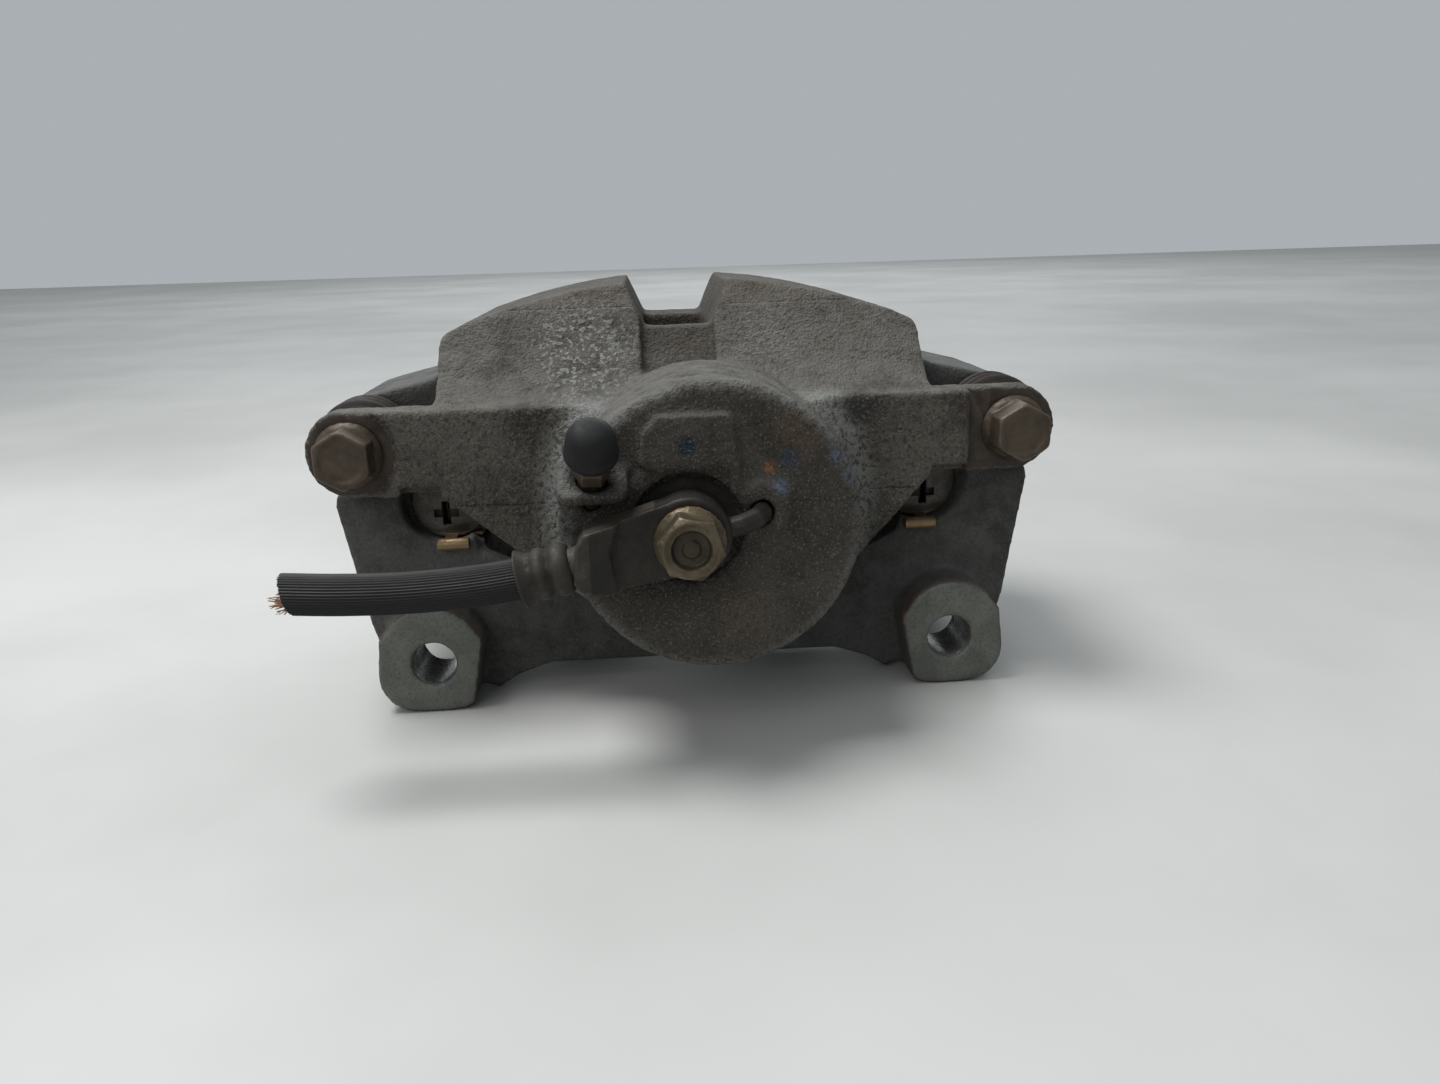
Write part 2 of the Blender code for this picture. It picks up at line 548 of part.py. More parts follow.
def make_hose_fitting():
    eye = turned("hose_fitting", [(0, 0.7), (9.6, 0.7), (10.3, 0), (10.3, -9.8), (9.6, -10.5), (0, -10.5)],
                 (EYE_X, 0, EYE_Z), steps=36)
    shoulder = [(-5, 10.4), (-21, 5.4), (-27.4, 3.6), (-29.2, 0.6), (-30.4, -8.6), (-28.4, -10.8),
                (-23, -11.6), (-4, -8.6)]
    body = prism("fitting_body", shoulder, -13.0, -1.4)
    flat = prism("fitting_flat", [(-18.6, 7), (-21.4, -1), (-19.4, -13), (2, -13), (2, 12), (-16, 12)], -20, -10.4)
    neck = rod("fitting_neck", 4.6, FERRULE_FOOT - FERRULE_AXIS * 4, FERRULE_FOOT + FERRULE_AXIS * 1.2, 20)
    peg = bent_tube("fitting_peg", 2.75, [(4, -6.4, 1.0), (11, -6.2, 2.8), (14.6, -5.0, 3.9),
                                          (16.2, -2.6, 4.4), (PEG_X, 3.2, PEG_Z)])
    add(eye, cut(body, flat), neck, peg)
    cut(eye, rod("fitting_bore", 5.4, (EYE_X, -20, EYE_Z), (EYE_X, 10, EYE_Z), 24))
    settle(eye, ZINC)


def make_ferrule():
    """The crimped collar: two bulges between the grooves of the crimp, and a flared lip."""
    outline = [(4.4, 1.5), (5.3, 1.5), (6.1, 2.6), (6.2, 4.4), (5.5, 5.4), (6.1, 6.4), (6.1, 8.2),
               (5.6, 9.2), (6.0, 11.2), (6.7, 12.6), (6.4, 13.0), (5.4, 12.4), (5.3, 7.4), (4.4, 7.4)]
    settle(turned("hose_ferrule", outline, FERRULE_FOOT, FERRULE_AXIS, steps=18, ring=True), BOLT_STEEL)


HOSE_ROUTE = [Vector(p) for p in ((-38.0, -7.9, -6.75), (-44, -7.9, -7.85), (-56, -7.9, -9.2),
                                  (-71, -7.9, -9.9), (-86, -7.9, -9.6), (-98.4, -7.9, -8.8))]


def make_hose():
    route = smooth_route(HOSE_ROUTE, 2)
    settle(bent_tube("brake_hose", HOSE_R, route, 3), HOSE_RUBBER)
    out = (HOSE_ROUTE[-1] - HOSE_ROUTE[-2]).normalized()
    tip = HOSE_ROUTE[-1]
    settle(rod("hose_liner", 2.6, tip + out * GAP, tip + out * 4.2, 14, 0.5), BRAID)


# ---- pads and their clips ----
def pad_outline(low_r, high_r, half_width, ear=False):
    """A pad's curved outline; its backing plate has an ear at each end that slides in the bracket."""
    top_turn = math.degrees(math.asin(half_width / high_r))
    low_turn = math.degrees(math.asin(half_width * 0.86 / low_r))
    top = arc(0, DISC_AXIS_Z, high_r, 90 - top_turn, 90 + top_turn, 10)
    low = arc(0, DISC_AXIS_Z, low_r, 90 + low_turn, 90 - low_turn, 10)
    if not ear:
        return top + low
    tab = [(half_width, -12), (70.4, -11.2), (71.3, -10), (71.3, -1.4), (70.4, -0.4), (half_width, 0)]
    return top + [(-x, z) for x, z in reversed(tab)] + low + tab


def make_pad(word, backing, lining, shim):
    settle(prism(f"{word}_pad_backing", pad_outline(104, 157.5, PAD_X, True), *backing), PAD_STEEL)
    middle = (lining[0] + lining[1]) / 2
    block = prism(f"{word}_pad_lining", pad_outline(106, 156, PAD_X - 3.5), *lining)
    slot_low, slot_high = (middle, lining[1] + 2) if word == "inboard" else (lining[0] - 2, middle)
    cut(block, box(f"{word}_slot", (-1.5, slot_low, -60), (1.5, slot_high, 60)))
    settle(block, FRICTION)
    settle(prism(f"{word}_pad_shim", pad_outline(108, 153, PAD_X - 8), *shim), SPRING_STEEL)


def make_wear_indicator():
    """The squealer: a bent strip riveted on the end of the inboard pad."""
    strip = [(55.6, 17.2), (59.2, 17.2), (59.2, 3.2), (60.2, 3.2), (60.2, 18.2), (55.6, 18.2)]
    settle(prism("wear_indicator", strip, 63.6, 70.6), SPRING_STEEL)


def make_clip(side, word, inboard):
    """A pad's stainless slipper: it lines the notch on three sides; inboard it has a face and a tab."""
    channel = [(62.0, 2.1), (72.5, 2.1), (72.5, -14.1), (62.0, -14.1), (62.0, -13.1), (71.8, -13.1),
               (71.8, 1.1), (62.0, 1.1)]
    low, high = (WALL_BACK + 1, FRAME_BACK - 0.4) if inboard else (OUTER_FRONT + 0.6, OUTER_BACK - 0.6)
    lining = prism(f"pad_clip_{word}", [(side * x, z) for x, z in channel], low, high)
    if inboard:
        middle = (side * (CLIP_X - 0.6), CLIP_Z - 1.0)
        face = prism("clip_face", arc(*middle, 10.8, 0, 360, 20)[:-1], WALL_BACK - 1.1, WALL_BACK - 0.1)
        slot = [(side * (CLIP_X + 0.6) + x, CLIP_Z - 4.4 + z) for x, z in star_outline(3.6, 1.2)]
        star = prism("clip_star", slot, 50, 60)
        neck = box("clip_neck", (min(side * 68.6, side * 72), 47.4, -13.4),
                   (max(side * 68.6, side * 72), low + 1, -12.7))
        tab = rod("clip_tab", 1.9, (side * 64.4, 47.2, -13.9), (side * 73.4, 47.2, -13.9), 12)
        add(lining, face, neck, tab)
        cut(lining, star)
    settle(lining, SPRING_STEEL)


def star_outline(reach, half):
    """A plus-shaped slot."""
    quarter = [(reach, -half), (reach, half), (half, half)]
    outline = []
    for _ in range(4):
        outline += quarter
        quarter = [(-z, x) for x, z in quarter]
    return outline


make_housing()
make_carrier()
make_piston()
make_seals()
make_bleeder()
make_guide(-1, "left", 35.1)
make_guide(1, "right", 36.0)
make_pin_bush()
make_banjo()
make_hose_fitting()
make_ferrule()
make_hose()
make_pad("inboard", (57.5, 63.2), (63.5, 73.2), (56.6, 57.2))
make_pad("outboard", (111.8, 117.5), (101.8, 111.5), (117.8, 118.4))
make_wear_indicator()
for side, hand in ((-1, "left"), (1, "right")):
    make_clip(side, f"inboard_{hand}", True)
    make_clip(side, f"outboard_{hand}", False)
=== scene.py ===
"""Looks of a used floating brake caliper on its bracket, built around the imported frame."""

import math
import random

import bpy
import numpy as np
from mathutils import Matrix, Vector


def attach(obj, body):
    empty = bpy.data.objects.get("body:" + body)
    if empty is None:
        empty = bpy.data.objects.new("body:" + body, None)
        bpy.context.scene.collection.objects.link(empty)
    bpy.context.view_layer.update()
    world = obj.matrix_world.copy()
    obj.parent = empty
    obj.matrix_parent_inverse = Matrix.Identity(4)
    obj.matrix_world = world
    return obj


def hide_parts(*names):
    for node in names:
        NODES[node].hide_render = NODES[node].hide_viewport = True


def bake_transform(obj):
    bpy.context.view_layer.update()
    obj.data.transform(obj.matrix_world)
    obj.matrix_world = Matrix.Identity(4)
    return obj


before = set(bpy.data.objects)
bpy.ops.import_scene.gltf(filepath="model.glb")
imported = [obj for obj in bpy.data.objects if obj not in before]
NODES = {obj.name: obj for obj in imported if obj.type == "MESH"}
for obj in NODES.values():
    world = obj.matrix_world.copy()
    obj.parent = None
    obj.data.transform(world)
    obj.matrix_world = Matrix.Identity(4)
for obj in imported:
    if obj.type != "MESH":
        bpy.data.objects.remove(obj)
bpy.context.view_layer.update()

MM = 0.001
DATUM = Vector((0.0, -0.0567, 0.0615))  # middle of the cylinder's closed end
CYL_X = 4.8
BORE_R, BORE_END = 30.2, 12.0
PIN_X, PIN_Z = 92.1, 16.0
EYE_X, EYE_Z = -2.1, 0.8
PEG_X, PEG_Z = 16.4, 4.4
BLEED_FOOT = Vector((-24.9, -3.0, 16.0))
BLEED_AXIS = Vector((0.06, -0.64, 0.766)).normalized()
MOUNT_X, MOUNT_Z, MOUNT_FACE = 76.0, -46.6, 36.0
EAR_FACE_CUT = 36.55  # how deep the ears are faced off
SPOT_FACE_R, SPOT_FACE_Y = 14.4, 2.55  # under the hose eye
LEFT_SEAT_Y, RIGHT_SEAT_Y, STEP_Y = 35.45, 36.4, 38.2  # under the guide bolts, and beside them
HOUSING_SPLIT_Y = 61.0  # behind the slope
FERRULE_FOOT = Vector((-30.4, -7.9, -5.1))
FERRULE_AXIS = Vector((-1.0, 0.0, -0.215)).normalized()
HOSE_R = 5.0
HOSE_ROUTE = ((-38.0, -7.9, -6.75), (-44, -7.9, -7.85), (-56, -7.9, -9.2),
              (-71, -7.9, -9.9), (-86, -7.9, -9.6), (-98.4, -7.9, -8.8))


def at(x, y, z):
    """A point of the caliper's own millimetres in the row frame."""
    return DATUM + Vector((x, y, z)) * MM


# ---- hand tools ----
def only(*objs):
    for other in bpy.context.selected_objects:
        other.select_set(False)
    for obj in objs:
        obj.select_set(True)
    bpy.context.view_layer.objects.active = objs[0]


def finish_with(obj, kind, **settings):
    step = obj.modifiers.new(kind.lower(), kind)
    for key, value in settings.items():
        setattr(step, key, value)
    only(obj)
    bpy.ops.object.modifier_apply(modifier=step.name)
    return obj


def edit(obj, *actions):
    """Runs edit-mode actions on all of a mesh."""
    only(obj)
    bpy.ops.object.mode_set(mode="EDIT")
    bpy.ops.mesh.select_all(action="SELECT")
    for action in actions:
        action()
    bpy.ops.object.mode_set(mode="OBJECT")
    return obj


def weld():
    bpy.ops.mesh.remove_doubles(threshold=2e-6)


def face_out():
    bpy.ops.mesh.normals_make_consistent(inside=False)


def named_mesh(name, points, edges=(), faces=()):
    mesh = bpy.data.meshes.new(name)
    mesh.from_pydata([tuple(p) for p in points], list(edges), list(faces))
    obj = bpy.data.objects.new(name, mesh)
    bpy.context.scene.collection.objects.link(obj)
    return obj


def copied(node, name):
    """A welded copy of a CAD node, to be worked over."""
    obj = bpy.data.objects.new(name, NODES[node].data.copy())
    bpy.context.scene.collection.objects.link(obj)
    obj.data.materials.clear()
    only(obj)
    bpy.ops.mesh.customdata_custom_splitnormals_clear()
    return edit(obj, weld)


def lathe(name, profile, foot, axis=(0, 1, 0), steps=48):
    """A profile of (radius, height) in millimetres, spun round an axis through foot."""
    points = [Vector((r, 0, h)) * MM for r, h in profile]
    closed = profile[0][0] > 0
    edges = [(i, i + 1) for i in range(len(points) - 1)]
    if closed:
        edges.append((len(points) - 1, 0))
    obj = named_mesh(name, points, edges)
    edit(obj,
         lambda: bpy.ops.mesh.spin(steps=steps, angle=2 * math.pi, center=(0, 0, 0), axis=(0, 0, 1)),
         weld, face_out)
    lean = Vector((0, 0, 1)).rotation_difference(Vector(axis).normalized()).to_matrix().to_4x4()
    obj.data.transform(Matrix.Translation(at(*foot)) @ lean)
    return obj


def block(name, low, high):
    """A box between two corners in millimetres."""
    low, high = at(*low), at(*high)
    only_none()
    bpy.ops.mesh.primitive_cube_add(size=1.0)
    obj = bpy.context.object
    obj.name = name
    obj.data.transform(Matrix.Translation((low + high) / 2) @ Matrix.Diagonal((*(high - low), 1)))
    return obj


def only_none():
    for other in bpy.context.selected_objects:
        other.select_set(False)


def rod(name, radius, start, end, steps=40):
    """A plain round bar between two points in millimetres."""
    start, end = Vector(start), Vector(end)
    length = (end - start).length
    profile = [(0, length), (radius, length), (radius, 0), (0, 0)]
    return lathe(name, profile, start, end - start, steps)


def trim(obj, cutters):
    """Machines a casting: takes each cutter away from it."""
    for cutter in cutters:
        finish_with(obj, "BOOLEAN", operation="DIFFERENCE", solver="MANIFOLD", object=cutter)
        bpy.data.objects.remove(cutter)
    return obj


def united(obj, *others):
    only(obj, *others)
    bpy.ops.object.join()
    return obj


def soften(obj, voxel, passes):
    """Melts a hard-edged solid into one skin with rounded corners."""
    finish_with(obj, "REMESH", mode="VOXEL", voxel_size=voxel * MM)
    return finish_with(obj, "SMOOTH", factor=0.5, iterations=passes)


def roughen(obj, size, depth, layers=2, group=""):
    """Raises and sinks a skin with a cloudy pattern of that size, in millimetres."""
    pattern = bpy.data.textures.new(f"{obj.name}_{size}", "CLOUDS")
    pattern.noise_scale = size * MM
    pattern.noise_depth = layers
    return finish_with(obj, "DISPLACE", texture=pattern, strength=depth * MM, mid_level=0.5,
                       texture_coords="LOCAL", vertex_group=group)


def smooth_shade(obj, degrees=None):
    only(obj)
    if degrees:
        bpy.ops.object.shade_smooth_by_angle(angle=math.radians(degrees))
    else:
        bpy.ops.object.shade_smooth()
    return obj


def fit(obj, material, body, nodes, degrees=None):
    """Finishes a piece: its material, the body it moves with and the nodes it stands for."""
    smooth_shade(obj, degrees)
    if not obj.data.materials:
        obj.data.materials.append(material)
    if isinstance(body, str):
        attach(obj, body)
    else:
        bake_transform(obj)
    if nodes:
        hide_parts(*nodes)
    return obj


# ---- materials ----
def new_paint(name):
    made = bpy.data.materials.new(name)
    made.use_nodes = True
    tree = made.node_tree
    where = tree.nodes.new("ShaderNodeTexCoord").outputs["Object"]
    return made, tree, tree.nodes["Principled BSDF"], where


def put(tree, kind, sockets, output=0, **settings):
    """Adds a node with its settings and inputs, and returns one output."""
    node = tree.nodes.new(kind)
    for key, value in settings.items():
        setattr(node, key, value)
    for key, value in sockets.items():
        if isinstance(value, bpy.types.NodeSocket):
            tree.links.new(value, node.inputs[key])
        else:
            node.inputs[key].default_value = value
    return node.outputs[output]


def cloud(tree, where, scale, detail=3.0, rough=0.6, stretch=None):
    if stretch:
        where = put(tree, "ShaderNodeMapping", {"Vector": where, "Scale": stretch})
    return put(tree, "ShaderNodeTexNoise",
               {"Vector": where, "Scale": scale, "Detail": detail, "Roughness": rough})


def span(tree, value, low, high, to_low=0.0, to_high=1.0):
    return put(tree, "ShaderNodeMapRange", {"Value": value, "From Min": low, "From Max": high,
                                            "To Min": to_low, "To Max": to_high},
               interpolation_type="SMOOTHSTEP")


def calc(tree, operation, a, b=0.0):
    return put(tree, "ShaderNodeMath", {0: a, 1: b}, operation=operation)


def times(tree, *values):
    result = values[0]
    for value in values[1:]:
        result = calc(tree, "MULTIPLY", result, value)
    return result


def tint(tree, share, a, b):
    colours = {0: share}
    for key, value in ((6, a), (7, b)):
        colours[key] = value if isinstance(value, bpy.types.NodeSocket) else (*value, 1.0)
    return put(tree, "ShaderNodeMix", colours, 2, data_type="RGBA")


def axes(tree, vector):
    node = tree.nodes.new("ShaderNodeSeparateXYZ")
    tree.links.new(vector, node.inputs[0])
    return node.outputs


def upward(tree, low, high):
    return span(tree, axes(tree, put(tree, "ShaderNodeNewGeometry", {}, 1))[2], low, high)


def edges_of(tree, low=0.51, high=0.56):
    return span(tree, put(tree, "ShaderNodeNewGeometry", {}, "Pointiness"), low, high)


def painted_shade_in_hollows(tree, reach):
    """Share of painted shade: 1 in crevices, 0 in the open."""
    share = put(tree, "ShaderNodeAmbientOcclusion", {"Distance": reach * MM}, 1, samples=8)
    return span(tree, share, 0.75, 0.2)


def set_bump(tree, shader, height, distance, strength=1.0):
    normal = put(tree, "ShaderNodeBump", {"Height": height, "Distance": distance * MM,
                                          "Strength": strength})
    tree.links.new(normal, shader.inputs["Normal"])


def connect(tree, shader, colour, roughness):
    tree.links.new(colour, shader.inputs["Base Color"])
    tree.links.new(roughness, shader.inputs["Roughness"])


def skin_value(tree, name):
    node = tree.nodes.new("ShaderNodeAttribute")
    node.attribute_name = name
    return node.outputs["Fac"]


def sand_cast(name, dark, mid, light, dust, marks, grit=1.0):
    """Rough iron from a sand mould: patchy brown and grey, pitted, with dust on what faces up."""
    made, tree, shader, where = new_paint(name)
    broad = cloud(tree, where, 26.0, 4.0)
    patch = cloud(tree, where, 150.0, 5.0, 0.65)
    grain = cloud(tree, where, 720.0, 3.0, 0.7)
    speck = cloud(tree, where, 1500.0, 2.0, 0.6)
    colour = tint(tree, span(tree, patch, 0.3, 0.7), dark, mid)
    colour = tint(tree, span(tree, broad, 0.38, 0.62), colour, light)
    dusty = times(tree, upward(tree, 0.1, 0.8), span(tree, patch, 0.3, 0.62, 0.3, 1.0))
    colour = tint(tree, times(tree, dusty, 0.6), colour, dust)
    # painted shade: the crevices darkened towards near black
    colour = tint(tree, times(tree, painted_shade_in_hollows(tree, 6.0), 0.8), colour, (0.010, 0.0085, 0.007))
    colour = marks(tree, where, colour, patch, grain)
    bare = calc(tree, "SUBTRACT", 1.0, times(tree, dusty, 0.9))
    pits = times(tree, bare, span(tree, grain, 0.52, 0.36), 0.6 * grit)
    colour = tint(tree, pits, colour, (0.011, 0.010, 0.008))
    crystals = times(tree, bare, span(tree, speck, 0.55, 0.67), 0.42 * grit)
    colour = tint(tree, crystals, colour, (0.19, 0.172, 0.145))
    connect(tree, shader, colour, span(tree, patch, 0.3, 0.7, 0.95, 0.74))
    shader.inputs["Specular IOR Level"].default_value = 0.35
    height = calc(tree, "ADD", times(tree, grain, 0.8), times(tree, speck, 0.55))
    set_bump(tree, shader, height, 1.5 * grit, 1.0)
    return made


def plated(name, dark, light, film, metal, smooth, rough, worn=0.35):
    """Turned or forged steel under old plating with a dirty film, and painted shade in its corners."""
    made, tree, shader, where = new_paint(name)
    broad = cloud(tree, where, 105.0, 4.0)
    fine = cloud(tree, where, 1200.0, 3.0, 0.65)
    colour = tint(tree, span(tree, broad, 0.35, 0.65), dark, light)
    colour = tint(tree, times(tree, span(tree, fine, 0.45, 0.7), 0.5), colour, film)
    if worn:
        edge = times(tree, edges_of(tree, 0.505, 0.54), worn)
        colour = tint(tree, edge, colour, [min(1.0, 1.9 * c) for c in light])
    # painted shade in the corners
    colour = tint(tree, times(tree, painted_shade_in_hollows(tree, 2.0), 0.7), colour, (0.015, 0.012, 0.009))
    connect(tree, shader, colour, span(tree, fine, 0.3, 0.7, smooth, rough))
    shader.inputs["Metallic"].default_value = metal
    shader.inputs["Specular IOR Level"].default_value = 0.3
    set_bump(tree, shader, fine, 0.12, 0.6)
    return made


def rubbery(name, colour, dusty, scale=500.0, streak=None):
    """Moulded rubber, dusty on what faces up; streak stretches its pattern."""
    made, tree, shader, where = new_paint(name)
    patch = cloud(tree, where, scale * 0.2, 4.0, stretch=streak)
    fine = cloud(tree, where, scale * 3, 2.0, 0.6, stretch=streak)
    shade = tint(tree, span(tree, patch, 0.35, 0.7), colour, [1.6 * c for c in colour])
    dust = times(tree, upward(tree, -0.1, 0.9), span(tree, fine, 0.35, 0.65), 0.6)
    shade = tint(tree, dust, shade, dusty)
    # painted shade in the crevices
    shade = tint(tree, times(tree, painted_shade_in_hollows(tree, 2.5), 0.7), shade, (0.006, 0.006, 0.006))
    connect(tree, shader, shade, span(tree, patch, 0.3, 0.7, 0.5, 0.75))
    shader.inputs["Specular IOR Level"].default_value = 0.22
    set_bump(tree, shader, fine, 0.06, 0.5)
    return made


def mould_line_stains_and_painted_light(tree, where, colour, patch, grain):
    """The mould's parting line, then the staining with painted light and shade stored on the skin, broken up
    by the grain.
    """
    wander = span(tree, patch, 0.2, 0.8, -0.5, 0.5)
    gap = calc(tree, "ABSOLUTE", calc(tree, "ADD", skin_value(tree, "seam"), wander))
    colour = tint(tree, span(tree, gap, 0.42, 0.12, 0.0, 0.8), colour, (0.012, 0.011, 0.010))
    stain_and_painted_light = tree.nodes.new("ShaderNodeAttribute")
    stain_and_painted_light.attribute_name = "stain_and_painted_light"
    # the stored colour is real staining and painted light and shade alike
    share = times(tree, stain_and_painted_light.outputs["Alpha"], span(tree, grain, 0.36, 0.58, 0.35, 1.0))
    colour = tint(tree, share, colour, stain_and_painted_light.outputs["Color"])
    flake = cloud(tree, where, 760.0, 2.0, 0.5)
    scuffed = times(tree, skin_value(tree, "scuffs"), span(tree, flake, 0.52, 0.62), 0.85)
    return tint(tree, scuffed, colour, (0.24, 0.24, 0.225))


IRON = sand_cast("cast_iron", (0.034, 0.028, 0.021), (0.064, 0.055, 0.043), (0.092, 0.083, 0.069),
                 (0.125, 0.122, 0.113), mould_line_stains_and_painted_light)
BRACKET_IRON = sand_cast("bracket_iron", (0.030, 0.029, 0.026), (0.050, 0.050, 0.046), (0.066, 0.067, 0.062),
                         (0.085, 0.086, 0.082), mould_line_stains_and_painted_light, 0.4)
MACHINED = plated("machined_iron", (0.095, 0.100, 0.088), (0.13, 0.135, 0.12),
                  (0.07, 0.058, 0.045), 0.35, 0.42, 0.6, 0)
BARE_BORE = plated("bare_bore", (0.30, 0.30, 0.29), (0.55, 0.55, 0.54),
                   (0.2, 0.19, 0.17), 0.9, 0.22, 0.45, 0)
SEAT = plated("bolt_seat", (0.034, 0.025, 0.019), (0.055, 0.042, 0.033),
              (0.03, 0.022, 0.016), 0.2, 0.5, 0.7, 0)
BOLT_STEEL = plated("bolt_steel", (0.036, 0.028, 0.020), (0.072, 0.056, 0.040),
                    (0.080, 0.046, 0.024), 0.35, 0.38, 0.6)
ZINC = plated("yellow_zinc", (0.058, 0.045, 0.028), (0.115, 0.092, 0.058),
              (0.045, 0.031, 0.018), 0.5, 0.3, 0.55)
DISH = plated("dished_face", (0.026, 0.021, 0.014), (0.052, 0.041, 0.027),
              (0.03, 0.022, 0.014), 0.4, 0.4, 0.6, 0)
FITTING = plated("fitting_zinc", (0.026, 0.022, 0.017), (0.052, 0.046, 0.037),
                 (0.028, 0.021, 0.016), 0.2, 0.5, 0.72, 0.2)
# near black: the hose eye's dark ring, peg and milled face, painted shadow in the spot face under the eye,
# and the bore's finish
EYE_FACE_AND_SPOT_SHADE = plated("fitting_face_and_painted_shade", (0.010, 0.009, 0.007), (0.022, 0.019, 0.015),
                  (0.016, 0.012, 0.009), 0.2, 0.45, 0.65, 0)
CRIMP = plated("crimp_steel", (0.015, 0.0125, 0.010), (0.030, 0.026, 0.021),
               (0.024, 0.018, 0.013), 0.1, 0.52, 0.75, 0.2)
CHROME = plated("piston_chrome", (0.55, 0.55, 0.55), (0.68, 0.68, 0.68),
                (0.4, 0.38, 0.34), 1.0, 0.12, 0.25)
COPPER = plated("copper", (0.36, 0.17, 0.08), (0.5, 0.26, 0.13),
                (0.2, 0.1, 0.05), 0.9, 0.3, 0.5)
BRASSY = plated("spring_steel", (0.10, 0.067, 0.037), (0.17, 0.118, 0.066),
                (0.06, 0.04, 0.022), 0.65, 0.34, 0.52)
CLIP_FACE = plated("clip_steel", (0.045, 0.041, 0.035), (0.085, 0.078, 0.068),
                   (0.035, 0.028, 0.02), 0.5, 0.35, 0.55, 0)
PAD_STEEL = plated("pad_steel", (0.016, 0.015, 0.014), (0.032, 0.029, 0.026),
                   (0.045, 0.03, 0.02), 0.3, 0.5, 0.75)
RUBBER = rubbery("black_rubber", (0.006, 0.006, 0.006), (0.016, 0.016, 0.016))
BOOT_RUBBER = rubbery("boot_rubber", (0.016, 0.013, 0.011), (0.048, 0.040, 0.034))
HOSE_RUBBER = rubbery("hose_rubber", (0.008, 0.0078, 0.008), (0.020, 0.0195, 0.020), 400.0, (0.12, 1.0, 1.0))


def friction_block():
    """Pressed friction lining with brass chips."""
    made, tree, shader, where = new_paint("friction_lining")
    chips = put(tree, "ShaderNodeTexVoronoi", {"Vector": where, "Scale": 900.0}, "Distance")
    patch = cloud(tree, where, 300.0, 4.0)
    colour = tint(tree, span(tree, patch, 0.35, 0.65), (0.045, 0.042, 0.038), (0.085, 0.078, 0.07))
    colour = tint(tree, times(tree, span(tree, chips, 0.22, 0.05), 0.6), colour, (0.30, 0.22, 0.13))
    connect(tree, shader, colour, span(tree, patch, 0.3, 0.7, 0.95, 0.75))
    set_bump(tree, shader, calc(tree, "ADD", chips, patch), 0.2, 0.7)
    return made


FRICTION = friction_block()


def braid_fibre():
    """Rust-brown cord of the hose braid."""
    made, tree, shader, where = new_paint("braid_cord")
    patch = cloud(tree, where, 900.0, 3.0)
    colour = tint(tree, span(tree, patch, 0.35, 0.65), (0.12, 0.06, 0.035), (0.38, 0.22, 0.13))
    connect(tree, shader, colour, span(tree, patch, 0.3, 0.7, 0.6, 0.85))
    set_bump(tree, shader, patch, 0.1, 0.6)
    return made


BRAID = braid_fibre()


# ---- camera ----
def set_camera():
    """Looks down on the front from a little left of the middle."""
    lens = bpy.data.cameras.new("camera")
    lens.lens = 26.47
    lens.sensor_width = 36.0
    lens.clip_start = 0.01
    shot = bpy.data.objects.new("camera", lens)
    bpy.context.scene.collection.objects.link(shot)
    aim = Matrix.Rotation(math.radians(-3.72), 3, "Z") @ Matrix.Rotation(math.radians(-16.34), 3, "X")
    right, down, ahead = aim @ Vector((1, 0, 0)), aim @ Vector((0, 0, -1)), aim @ Vector((0, 1, 0))
    lean = math.radians(1.69)
    across = right * math.cos(lean) + down * math.sin(lean)
    below = down * math.cos(lean) - right * math.sin(lean)
    turn = Matrix((across, -below, -ahead)).transposed()
    shot.matrix_world = Matrix.Translation((-0.01074, -0.31074, 0.13292)) @ turn.to_4x4()
    bpy.context.scene.camera = shot


set_camera()


# ---- hose ----
def smooth_line(points, steps):
    """Points read from one smooth curve through the route's own points."""
    points = [Vector(p) for p in points]
    padded = [points[0] * 2 - points[1], *points, points[-1] * 2 - points[-2]]
    route = []
    for a, b, c, d in zip(padded, padded[1:], padded[2:], padded[3:]):
        for i in range(steps):
            t = i / steps
            route.append(0.5 * (2 * b + (c - a) * t + (2 * a - 5 * b + 4 * c - d) * t * t
                                + (3 * b - 3 * c + d - a) * t ** 3))
    return route + [points[-1]]


def tube_skin(name, path, rings):
    """Rings of points along a path: rings(i) gives the radii round it. Both ends are closed."""
    points, faces = [], []
    for i, place in enumerate(path):
        ahead = (path[min(i + 1, len(path) - 1)] - path[max(i - 1, 0)]).normalized()
        side = ahead.cross(Vector((0, 0, 1))).normalized()
        up = side.cross(ahead)
        radii = rings(i)
        count = len(radii)
        for k, radius in enumerate(radii):
            a = 2 * math.pi * k / count
            points.append(place + (side * math.cos(a) + up * math.sin(a)) * radius)
    for i in range(len(path) - 1):
        for k in range(count):
            n = (k + 1) % count
            faces.append((i * count + k, i * count + n, (i + 1) * count + n, (i + 1) * count + k))
    faces.append(tuple(range(count))[::-1])
    faces.append(tuple(range((len(path) - 1) * count, len(path) * count)))
    return edit(named_mesh(name, points, (), faces), face_out)


